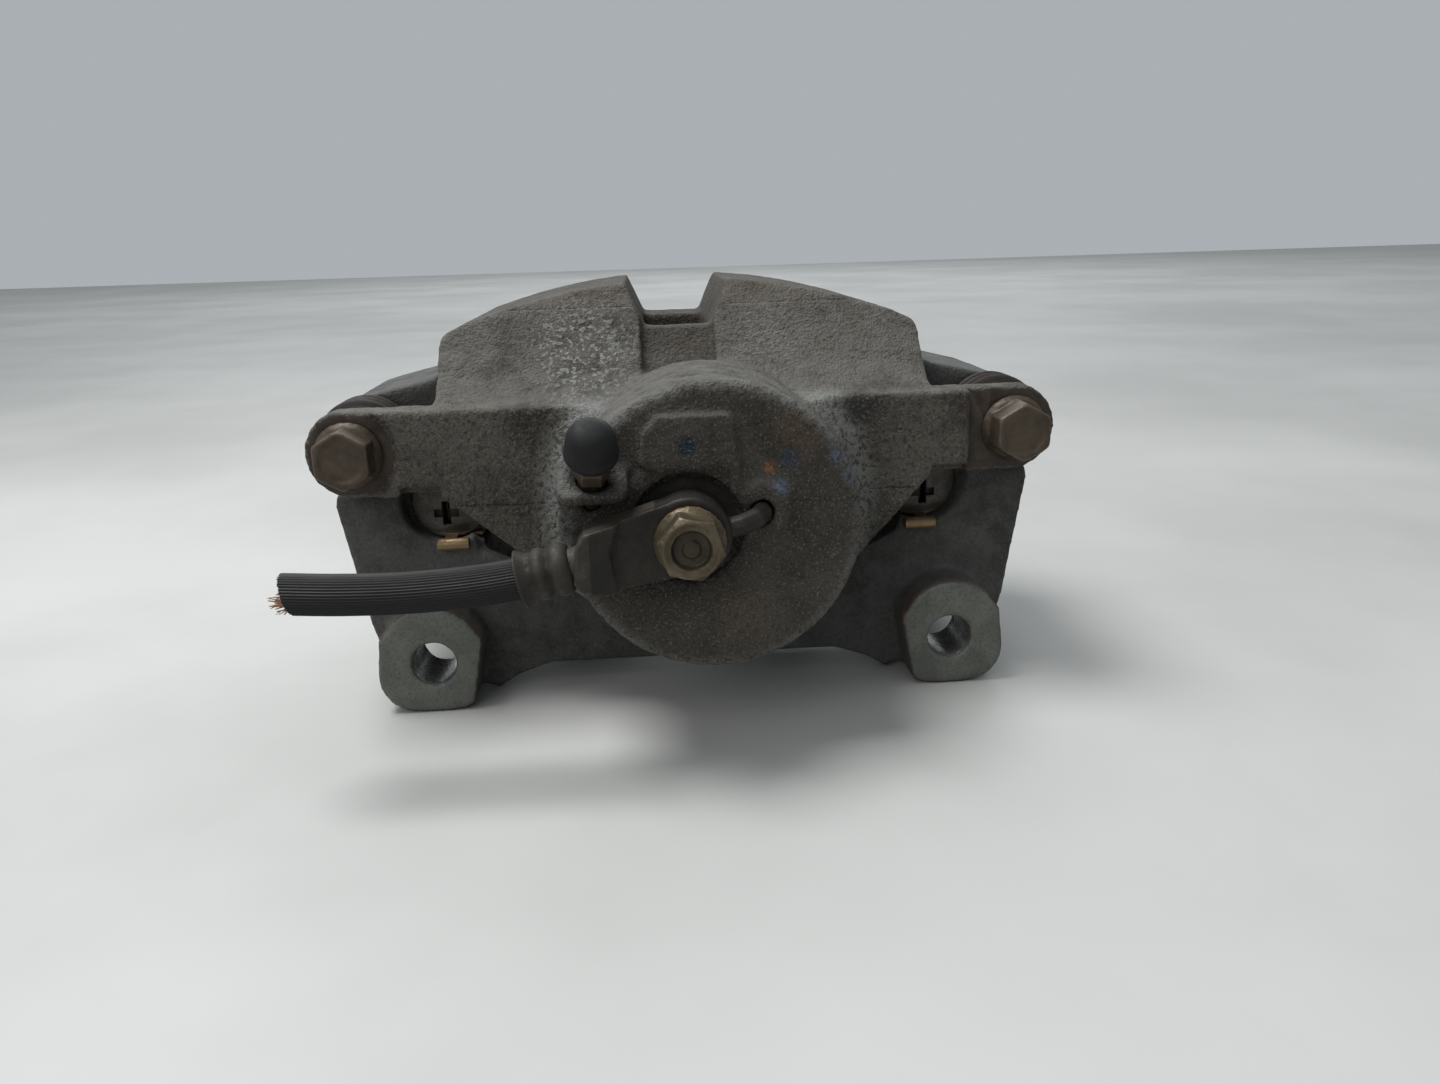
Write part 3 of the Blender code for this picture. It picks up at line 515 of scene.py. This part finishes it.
def make_hose():
    """The cut hose: ribbed cover, hollow end and frayed braid."""
    route = smooth_line(HOSE_ROUTE, 6)
    path = [at(*p) for p in route]
    ribs, steps = 44, 6
    ring = [(HOSE_R + 0.11 * math.cos(2 * math.pi * k / steps)) * MM for k in range(ribs * steps)]
    hose = tube_skin("hose_cover", path, lambda place: ring)
    out = (path[-1] - path[-2]).normalized()
    tip = Vector(HOSE_ROUTE[-1])
    hole = rod("hose_hole", 3.9, tip + Vector((3, 0, 0)), tip - Vector((4, 0, 0)), 32)
    trim(hose, [hole])
    rng = random.Random(4)
    for vertex in hose.data.vertices:
        past = (vertex.co - path[-1]).dot(out)
        if past > -0.0016:
            lift = vertex.co.z - path[-1].z
            vertex.co += out * (0.34 * lift + rng.uniform(-0.00025, 0.00025))
    tuft = make_tuft(tip, Vector((-1, 0, 0.06)).normalized())
    fit(hose, HOSE_RUBBER, "caliper", ("brake_hose",), 50)
    fit(tuft, BRAID, "caliper", ("hose_liner",), 60)


def make_tuft(tip, out):
    """Inner liner with the frayed ends of the braid standing out of the cut."""
    rng = random.Random(11)
    braid = [(0, 5.2), (1.2, 5.2), (1.2, 6.6), (2.3, 6.8), (3.1, 6.3), (3.5, 5.6), (3.6, 0.4), (0, 0)]
    core = lathe("hose_braid", braid, tip - out * 6.0, out, 28)
    side = out.cross(Vector((0, 0, 1))).normalized()
    up = side.cross(out)
    strands = []
    for i in range(70):
        turn = rng.uniform(0, 2 * math.pi)
        ring = rng.uniform(2.5, 3.6)
        start = tip + (side * math.cos(turn) + up * math.sin(turn)) * ring - out * 1.5
        drift = (side * rng.uniform(-1, 1) + up * rng.uniform(-1.0, 0.5)) * 1.5
        reach = rng.uniform(2.0, 5.4) if math.sin(turn) < 0.4 else rng.uniform(1.4, 3.2)
        path = [at(*(start + out * reach * t + drift * t * t)) for t in (0, 0.33, 0.66, 1)]
        radius = rng.uniform(0.14, 0.26) * MM
        strands.append(tube_skin(f"strand_{i}", path, lambda j, r=radius: [r * (1 - 0.12 * j)] * 5))
    return united(core, *strands)


make_hose()


def make_ferrule():
    """Crimped collar: two bulges between grooves, pressed flats and a flared lip."""
    outer = [(5.0, 0.4), (5.6, 0.7), (6.3, 1.5), (6.6, 2.6), (6.6, 3.6), (6.3, 4.5), (5.6, 5.1),
             (5.4, 5.6), (5.65, 6.1), (6.3, 6.8), (6.5, 7.6), (6.45, 8.4), (6.0, 9.3), (5.8, 10.0),
             (6.05, 11.0), (6.7, 12.2), (7.2, 12.8), (7.15, 13.1), (6.8, 13.2)]
    inner = [(5.6, 12.6), (5.25, 11.6), (5.2, 7.2), (4.3, 7.0), (4.3, 0.4)]
    collar = lathe("hose_collar", outer + inner, FERRULE_FOOT, FERRULE_AXIS, 96)
    foot = at(*FERRULE_FOOT)
    for vertex in collar.data.vertices:
        gap = vertex.co - foot
        along = gap.dot(FERRULE_AXIS)
        off = gap - FERRULE_AXIS * along
        turn = math.atan2(off.z, off.y)
        share = math.exp(-((along / MM - 5.4) / 1.4) ** 2) + math.exp(-((along / MM - 9.8) / 1.2) ** 2)
        if off.length > 5.25 * MM:
            vertex.co -= off.normalized() * (0.32 * MM * share * (0.5 + 0.5 * math.cos(8 * turn)))
    fit(collar, CRIMP, "caliper", ("hose_ferrule",), 40)


make_ferrule()


# ---- castings ----
def cut_front_back(obj, level, front_name, back_name):
    """Splits a long casting in two pieces behind its slope, so that each keeps its fine skin."""
    back = bpy.data.objects.new(back_name, obj.data.copy())
    bpy.context.scene.collection.objects.link(back)
    obj.name = front_name
    for piece, outer in ((obj, True), (back, False)):
        edit(piece, lambda keep=outer: bpy.ops.mesh.bisect(
            plane_co=at(0, level, 0), plane_no=(0, 1, 0), use_fill=True,
            clear_outer=keep, clear_inner=not keep))
    return obj, back


def paint_faces(obj, materials, tests):
    """Gives faces the first material whose test holds for their middle and direction."""
    obj.data.materials.clear()
    for material in materials:
        obj.data.materials.append(material)
    count = len(obj.data.polygons)
    middle = np.empty(count * 3)
    facing = np.empty(count * 3)
    obj.data.polygons.foreach_get("center", middle)
    obj.data.polygons.foreach_get("normal", facing)
    middle = (middle.reshape(-1, 3) - np.array(DATUM)) / MM
    facing = facing.reshape(-1, 3)
    index = np.zeros(count, np.int32)
    for number, test in tests:
        index[test(middle[:, 0], middle[:, 1], middle[:, 2], facing)] = number
    obj.data.polygons.foreach_set("material_index", index)


def skin_points(obj):
    """A skin's points, in the caliper's millimetres."""
    points = np.empty(len(obj.data.vertices) * 3)
    obj.data.vertices.foreach_get("co", points)
    return (points.reshape(-1, 3) - np.array(DATUM)) / MM


def ramp(values, low, high):
    """0 at low, 1 at high, smooth between."""
    share = np.clip((values - low) / (high - low), 0.0, 1.0)
    return share * share * (3 - 2 * share)


def paint_skin(obj, stains_and_painted_light, seam=None, scuffs=None):
    """Stores the staining and painted light and shade as a colour with its share, the gap to the mould line,
    and where scuffs lie.
    """
    points = skin_points(obj)
    count = len(points)
    paint = np.zeros((count, 3))
    share = np.zeros(count)
    for colour, mask in stains_and_painted_light(points[:, 0], points[:, 1], points[:, 2]):
        mask = np.clip(mask, 0.0, 1.0)
        total = mask + share * (1 - mask)
        safe = np.maximum(total, 1e-6)[:, None]
        paint = (np.array(colour) * mask[:, None] + paint * (share * (1 - mask))[:, None]) / safe
        share = total
    skin = obj.data.attributes.new("stain_and_painted_light", "FLOAT_COLOR", "POINT")
    skin.data.foreach_set("color", np.column_stack([paint, share]).astype(np.float32).ravel())
    for name, rule, rest in (("seam", seam, 9.0), ("scuffs", scuffs, 0.0)):
        values = rule(points[:, 0], points[:, 1], points[:, 2]) if rule else np.full(count, rest)
        layer = obj.data.attributes.new(name, "FLOAT", "POINT")
        layer.data.foreach_set("value", values.astype(np.float32))


def dab(x, y, z, point, size, fade, share):
    gap = np.sqrt((x - point[0]) ** 2 + (y - point[1]) ** 2 + (z - point[2]) ** 2)
    return share * ramp(-gap, -size - fade, -size + fade)


def housing_stains_and_painted_light(x, y, z):
    """Brown crest, window darkened by rust and painted shade, end face and the spot round the eye darkened as
    painted shade, fillet lightened by dust and a painted highlight, a painted highlight round the edge of the
    end face, paint dabs, rust specks and the rub mark.
    """
    radius = np.hypot(x - CYL_X, z)
    yield (0.085, 0.062, 0.043), 0.6 * ramp(z, 49, 57) * ramp(-y, -80, -60)
    yield (0.055, 0.047, 0.038), 0.85 * ramp(y, 64, 72)
    # the window in the bridge: rust and painted shade in the recess
    yield (0.036, 0.029, 0.022), 0.8 * ramp(-np.abs(x + 1.1), -11.8, -9.8) * ramp(y, 45, 51) * ramp(z, 28, 33)
    # painted shade over the end face
    yield (0.026, 0.023, 0.020), 0.6 * ramp(-radius, -37, -33) * ramp(-y, -12, -6)
    # painted shadow round the hose eye
    yield (0.010, 0.008, 0.006), 0.9 * ramp(-np.hypot(x + 4, z + 1), -25, -10) * ramp(-y, -14, -8)
    yield (0.026, 0.023, 0.019), dab(x, y, z, (-25.0, -4.0, 8.0), 7.0, 4.0, 0.6)
    # the fillet round the cylinder: dust and a painted highlight
    round_fillet_dust_and_highlight = ramp(radius, 37.0, 39.5) * ramp(-radius, -50, -43)
    yield (0.20, 0.205, 0.195), 0.75 * round_fillet_dust_and_highlight * ramp(y, 8, 22) * ramp(-y, -42, -34)
    # painted highlight round the edge of the end face
    yield (0.125, 0.130, 0.128), 0.35 * ramp(radius, 33.5, 36.5) * ramp(-y, -12, -4)
    yield (0.17, 0.085, 0.035), dab(x, y, z, (26.0, -0.5, 24.0), 5.0, 4.0, 0.22)
    yield (0.15, 0.085, 0.045), dab(x, y, z, (12.0, -0.5, -22.0), 7.0, 5.0, 0.18)
    yield (0.012, 0.028, 0.060), dab(x, y, z, (23.5, -0.5, 17.6), 2.6, 1.2, 0.7)
    yield (0.11, 0.16, 0.24), dab(x, y, z, (35.6, 0.5, 17.0), 1.8, 1.0, 0.6)
    yield (0.10, 0.15, 0.23), dab(x, y, z, (38.6, 0.5, 12.0), 1.6, 1.0, 0.55)
    yield (0.10, 0.17, 0.28), dab(x, y, z, (21.5, -1.5, 11.0), 1.8, 1.2, 0.7)
    yield (0.36, 0.13, 0.03), dab(x, y, z, (18.4, -1.8, 15.4), 1.9, 1.2, 0.95)
    yield (0.26, 0.10, 0.03), dab(x, y, z, (13.2, -2.4, 19.0), 1.4, 1.0, 0.5)
    yield (0.003, 0.014, 0.030), dab(x, y, z, (-1.8, -2.4, 22.2), 2.4, 0.6, 1.0)
    yield (0.010, 0.011, 0.014), dab(x, y, z, (47.7, 33.0, 24.0), 4.6, 2.6, 0.85)


def housing_seam(x, y, z):
    """Signed height over the mould line where one shows, far from it elsewhere."""
    on_arm = (np.abs(y - 33) < 3) & (((x > -64) & (x < -34)) | ((x > 48) & (x < 64)))
    on_end = (y < 1.5) & (x > 24.5) & (x < 42.5)
    return np.where(on_arm, z - 0.8, np.where(on_end, z - 6.6, 9.0))


def housing_scuffs(x, y, z):
    """Light flakes on the lobes of the slope."""
    return dab(x, y * 0.5, z, (-28.0, 26.0, 40.0), 13, 9, 1.0) + dab(x, y * 0.5, z, (24, 26, 42), 9, 8, 0.35)


def bracket_stains(x, y, z):
    """Rust on the rims of the machined ears."""
    radius = np.hypot(np.abs(x) - MOUNT_X, z - MOUNT_Z)
    yield (0.10, 0.045, 0.022), 0.6 * ramp(radius, 14.2, 15.4) * ramp(-radius, -18, -16) * ramp(-y, -42, -38)


def make_housing():
    """The caliper body: melted, sanded, machined where bolts and hose seat, then split, stained and painted
    with light and shade.
    """
    body = copied("caliper_housing", "housing")
    fillet = [(30, 35), (44.5, 35), (44.5, 33.0), (41.8, 31.4), (39.6, 28.8), (38.2, 25.6), (37.5, 22.5),
              (30, 22.5)]
    ring = lathe("front_fillet", fillet, (CYL_X, 0, 0), steps=64)
    trim(ring, [block("above_ring", (-60, 10, 27.0), (60, 50, 60))])
    united(body, ring)
    soften(body, 0.75, 7)
    roughen(body, 9.0, 0.4)
    sandy = body.vertex_groups.new(name="sandy")
    levels = 8  # the sand shows less towards the back
    shares = np.round(ramp(-skin_points(body)[:, 1], -58, -36) * levels)
    for level in range(levels + 1):
        sandy.add(np.flatnonzero(shares == level).tolist(), 0.35 + 0.65 * level / levels, "REPLACE")
    roughen(body, 1.7, 0.46, 1, "sandy")
    trim(body, [
        block("right_seat", (78.75, 28, -4), (112, RIGHT_SEAT_Y, 32)),
        rod("left_seat", 13.6, (-PIN_X, 26, PIN_Z), (-PIN_X, LEFT_SEAT_Y, PIN_Z), 64),
        block("left_step", (-79.2, 28, -6), (-68.3, STEP_Y, 6.5)),
        block("right_step", (68.3, 28, -6), (78.75, STEP_Y, 6.5)),
        rod("spot_face", SPOT_FACE_R, (EYE_X, -6, EYE_Z), (EYE_X, SPOT_FACE_Y, EYE_Z), 64),
        rod("inlet", 5.3, (EYE_X, 0, EYE_Z), (EYE_X, 14, EYE_Z)),
        rod("peg_hole", 3.25, (PEG_X, -5, PEG_Z), (PEG_X, 6, PEG_Z)),
        rod("bore", BORE_R, (CYL_X, BORE_END, 0), (CYL_X, 60, 0), 96),
        rod("left_pin_hole", 5.5, (-PIN_X, 30, PIN_Z), (-PIN_X, 60, PIN_Z)),
        rod("right_pin_hole", 5.5, (PIN_X, 30, PIN_Z), (PIN_X, 60, PIN_Z)),
    ])
    front, back = cut_front_back(body, HOUSING_SPLIT_Y, "housing_front", "housing_back")

    def seats(x, y, z, n):
        return (n[:, 1] < -0.95) & (np.abs(x) > 78) & (y > LEFT_SEAT_Y - 0.25) & (y < RIGHT_SEAT_Y + 0.2)

    def spot(x, y, z, n):
        return (np.hypot(x - EYE_X, z - EYE_Z) < SPOT_FACE_R - 0.02) & (np.abs(y - SPOT_FACE_Y) < 0.15)

    def bore(x, y, z, n):
        return (np.hypot(x - CYL_X, z) < BORE_R + 0.2) & (y > BORE_END - 0.1)

    for piece in (front, back):
        paint_skin(piece, housing_stains_and_painted_light, housing_seam, housing_scuffs)
        # the spot face under the eye gets the near-black finish as painted shadow
        paint_faces(piece, (IRON, SEAT, EYE_FACE_AND_SPOT_SHADE), ((1, seats), (2, spot), (2, bore)))
    fit(front, IRON, "caliper", ("caliper_housing",))
    fit(back, IRON, "caliper", ("caliper_housing",))


def make_bracket():
    """The carrier bracket, with its pin bores, mounting holes and faced-off ears."""
    body = copied("carrier_bracket", "bracket")
    soften(body, 0.85, 8)
    roughen(body, 14.0, 0.35)
    roughen(body, 2.2, 0.14, 1)
    cutters = []
    for side, word in ((-1, "left"), (1, "right")):
        x, mount = side * PIN_X, side * MOUNT_X
        cutters += [
            rod(f"{word}_pin_bore", 6.4, (x, 60, PIN_Z), (x, 108, PIN_Z)),
            rod(f"{word}_mount_hole", 6.4, (mount, 30, MOUNT_Z), (mount, 60, MOUNT_Z), 64),
            rod(f"{word}_mount_face", 14.7, (mount, 30, MOUNT_Z), (mount, EAR_FACE_CUT, MOUNT_Z), 96),
        ]
    trim(body, cutters)

    def ear(x, y, z, n):
        return (n[:, 1] < -0.8) & (z < -30) & (y < MOUNT_FACE + 1.5)

    def hole(x, y, z, n):
        return (np.hypot(np.abs(x) - MOUNT_X, z - MOUNT_Z) < 6.5) & (np.abs(n[:, 1]) < 0.3)

    paint_skin(body, bracket_stains)
    paint_faces(body, (BRACKET_IRON, MACHINED, BARE_BORE), ((1, ear), (2, hole)))
    fit(body, BRACKET_IRON, "bracket", ("carrier_bracket",))


make_housing()
make_bracket()


# ---- bolts and fittings ----
def eye(x, y, z, n):
    """The dark ring round the hollow bolt, its peg arm and the milled face of the neck."""
    peg = x > EYE_X + 6
    milled = (x > -26) & (x < -9) & (n[:, 1] < -0.8)
    return (np.hypot(x - EYE_X, z - EYE_Z) < 11.4) | peg | milled


def make_fasteners():
    """Guide bolts, hollow bolt, hose eye, bleed nipple and its rubber cap."""
    for node, name, material, slot, voxel, passes in (
            ("guide_bolt_left", "left_guide_bolt", BOLT_STEEL, "bolt_steel", 0.36, 9),
            ("guide_bolt_right", "right_guide_bolt", BOLT_STEEL, "bolt_steel", 0.36, 8),
            ("banjo_bolt", "hollow_bolt", ZINC, "yellow_zinc", 0.3, 4),
            ("hose_fitting", "hose_eye", FITTING, "yellow_zinc", 0.36, 7)):
        piece = soften(copied(node, name), voxel, passes)
        roughen(piece, 1.4, 0.09)
        if node == "hose_fitting":
            paint_faces(piece, (FITTING, EYE_FACE_AND_SPOT_SHADE), ((1, eye),))
        if node == "banjo_bolt":
            paint_faces(piece, (ZINC, DISH), ((1, lambda x, y, z, n: np.hypot(x - EYE_X, z - EYE_Z) < 5.0),))
        fit(piece, material, "caliper", (node,))
    screw = soften(copied("bleed_screw", "bleed_nipple"), 0.28, 3)
    roughen(screw, 1.2, 0.05)
    fit(screw, BOLT_STEEL, "bleed_screw", ("bleed_screw",))
    dome = [(0, 17.6), (1.6, 17.5), (3.0, 17.1), (4.3, 16.3), (5.3, 15.1), (5.9, 13.8), (6.1, 12.4),
            (6.15, 10.2), (6.3, 9.8), (6.55, 9.5), (6.6, 8.3), (6.3, 7.6), (5.5, 7.4), (4.8, 7.7),
            (3.3, 8.2), (3.3, 13.4), (0, 13.8)]
    cap = lathe("bleeder_cap", dome, BLEED_FOOT, BLEED_AXIS, 64)
    fit(cap, RUBBER, "bleed_cap", ("bleed_cap",), 50)


make_fasteners()


# ---- rubber boots ----
def make_boots():
    """Bellows over the guide pins, and the lip round the piston."""
    for side, word in ((-1, "left"), (1, "right")):
        outer = []
        for i in range(61):
            y = 49.2 + 13.0 * i / 60
            wave = math.cos(2 * math.pi * (y - 51.5) / 4.0)
            outer.append((11.6 + 1.3 * math.copysign(abs(wave) ** 0.8, wave) if 49.6 < y < 61.8 else 10.8, y))
        outer = [(7.7, 48.7), (9.2, 48.7), (9.8, 49.0)] + outer
        outer += [(11.4, 62.6), (11.4, 63.6), (8.7, 63.6), (8.7, 65.9)]
        inner = [(7.1, 65.9), (7.2, 61.0)]
        inner += [(r - 1.3, y) for r, y in outer[60:4:-3]]
        inner = [(max(r, 7.1), y) for r, y in inner]
        boot = lathe(f"bellows_{word}", outer + inner, (side * PIN_X, 0, PIN_Z), steps=64)
        seam = (side * PIN_X, 62.0, PIN_Z), (side * PIN_X, 49.6, PIN_Z)
        fit(boot, BOOT_RUBBER, ("bracket", "caliper", at(*seam[0]), at(*seam[1])), (f"pin_boot_{word}",),
            50)
    lip = [(30.3, 55.4), (30.7, 55.9), (31.1, 56.2), (31.5, 55.9), (31.9, 55.3), (33.6, 55.3), (33.6, 52.4),
           (32.9, 52.4), (32.9, 54.5), (31.0, 54.5)]
    dust = lathe("piston_bellows", lip, (CYL_X, 0, 0), steps=96)
    stretch = at(CYL_X + 33, 55, 0), at(CYL_X + 33, 57, 0)
    fit(dust, RUBBER, ("caliper", "piston", *stretch), ("piston_dust_boot",), 50)


# ---- pads, clips and the plain turned parts ----
def make_pads():
    """Pads, wear strip and spring clips, with their edges broken."""
    for node, name, material, body, slot, width in (
            ("inboard_pad_backing", "inboard_plate", PAD_STEEL, "inboard_pad", "pad_steel", 0.6),
            ("outboard_pad_backing", "outboard_plate", PAD_STEEL, "outboard_pad", "pad_steel", 0.6),
            ("inboard_pad_lining", "inboard_friction", FRICTION, "inboard_pad", "friction_lining", 0.8),
            ("outboard_pad_lining", "outboard_friction", FRICTION, "outboard_pad", "friction_lining", 0.8),
            ("wear_indicator", "wear_strip", BRASSY, "inboard_pad", "spring_steel", 0.2),
            ("pad_clip_inboard_left", "inboard_clip_left", BRASSY, "bracket", "spring_steel", 0.18),
            ("pad_clip_inboard_right", "inboard_clip_right", BRASSY, "bracket", "spring_steel", 0.18),
            ("pad_clip_outboard_left", "outboard_clip_left", BRASSY, "bracket", "spring_steel", 0.18),
            ("pad_clip_outboard_right", "outboard_clip_right", BRASSY, "bracket", "spring_steel", 0.18)):
        piece = copied(node, name)
        finish_with(piece, "BEVEL", width=width * MM, segments=2, limit_method="ANGLE",
                    angle_limit=math.radians(40))
        if "clip" in name:
            paint_faces(piece, (material, CLIP_FACE), ((1, lambda x, y, z, n: (y > 54) & (z > -12.3)),))
        fit(piece, material, body, (node,), 35)


make_boots()
make_pads()
for node, material in (("piston", CHROME), ("piston_seal", RUBBER), ("boot_retaining_ring", BRASSY),
                       ("copper_washer_outer", COPPER), ("copper_washer_inner", COPPER),
                       ("guide_pin_left", BOLT_STEEL), ("guide_pin_right", BOLT_STEEL),
                       ("guide_pin_bush", RUBBER), ("inboard_pad_shim", BRASSY),
                       ("outboard_pad_shim", BRASSY)):
    NODES[node].data.materials.clear()
    NODES[node].data.materials.append(material)


# ---- floor and light ----
def set_stage():
    """Pale floor, soft sky, a lamp overhead, a fill in front and one over the far floor."""
    made, tree, shader, where = new_paint("pale_floor")
    patch = cloud(tree, where, 3.0, 5.0)
    colour = tint(tree, span(tree, patch, 0.3, 0.7), (0.37, 0.37, 0.355), (0.45, 0.45, 0.435))
    connect(tree, shader, colour, span(tree, patch, 0.3, 0.7, 0.5, 0.65))
    only_none()
    bpy.ops.mesh.primitive_plane_add(size=8.0, location=(0, 0, -0.0001))
    floor = bpy.context.object
    floor.name = "floor"
    floor.data.materials.append(made)
    world = bpy.data.worlds.new("studio")
    world.use_nodes = True
    world.node_tree.nodes["Background"].inputs["Color"].default_value = (0.80, 0.86, 0.90, 1.0)
    world.node_tree.nodes["Background"].inputs["Strength"].default_value = 0.5
    bpy.context.scene.world = world
    for name, place, aim, size, power, colour in (
            ("far_light", (0.2, 2.4, 1.7), (0.2, 2.3, 0), 2.4, 34.0, (0.96, 0.98, 1.0)),
            ("top_light", (-0.35, 0.0, 1.0), (0, 0, 0.05), 0.5, 12.0, (0.98, 0.99, 1.0)),
            ("front_fill", (-0.5, -0.9, 0.7), (0, 0, 0.05), 0.7, 3.0, (1.0, 0.98, 0.95))):
        lamp = bpy.data.lights.new(name, "AREA")
        lamp.shape = "DISK"
        lamp.size = size
        lamp.energy = power
        lamp.color = colour
        shone = bpy.data.objects.new(name, lamp)
        bpy.context.scene.collection.objects.link(shone)
        shone.location = place
        shone.rotation_mode = "QUATERNION"
        shone.rotation_quaternion = (Vector(aim) - Vector(place)).to_track_quat("-Z", "Y")
    bpy.context.scene.view_settings.view_transform = "Standard"


set_stage()
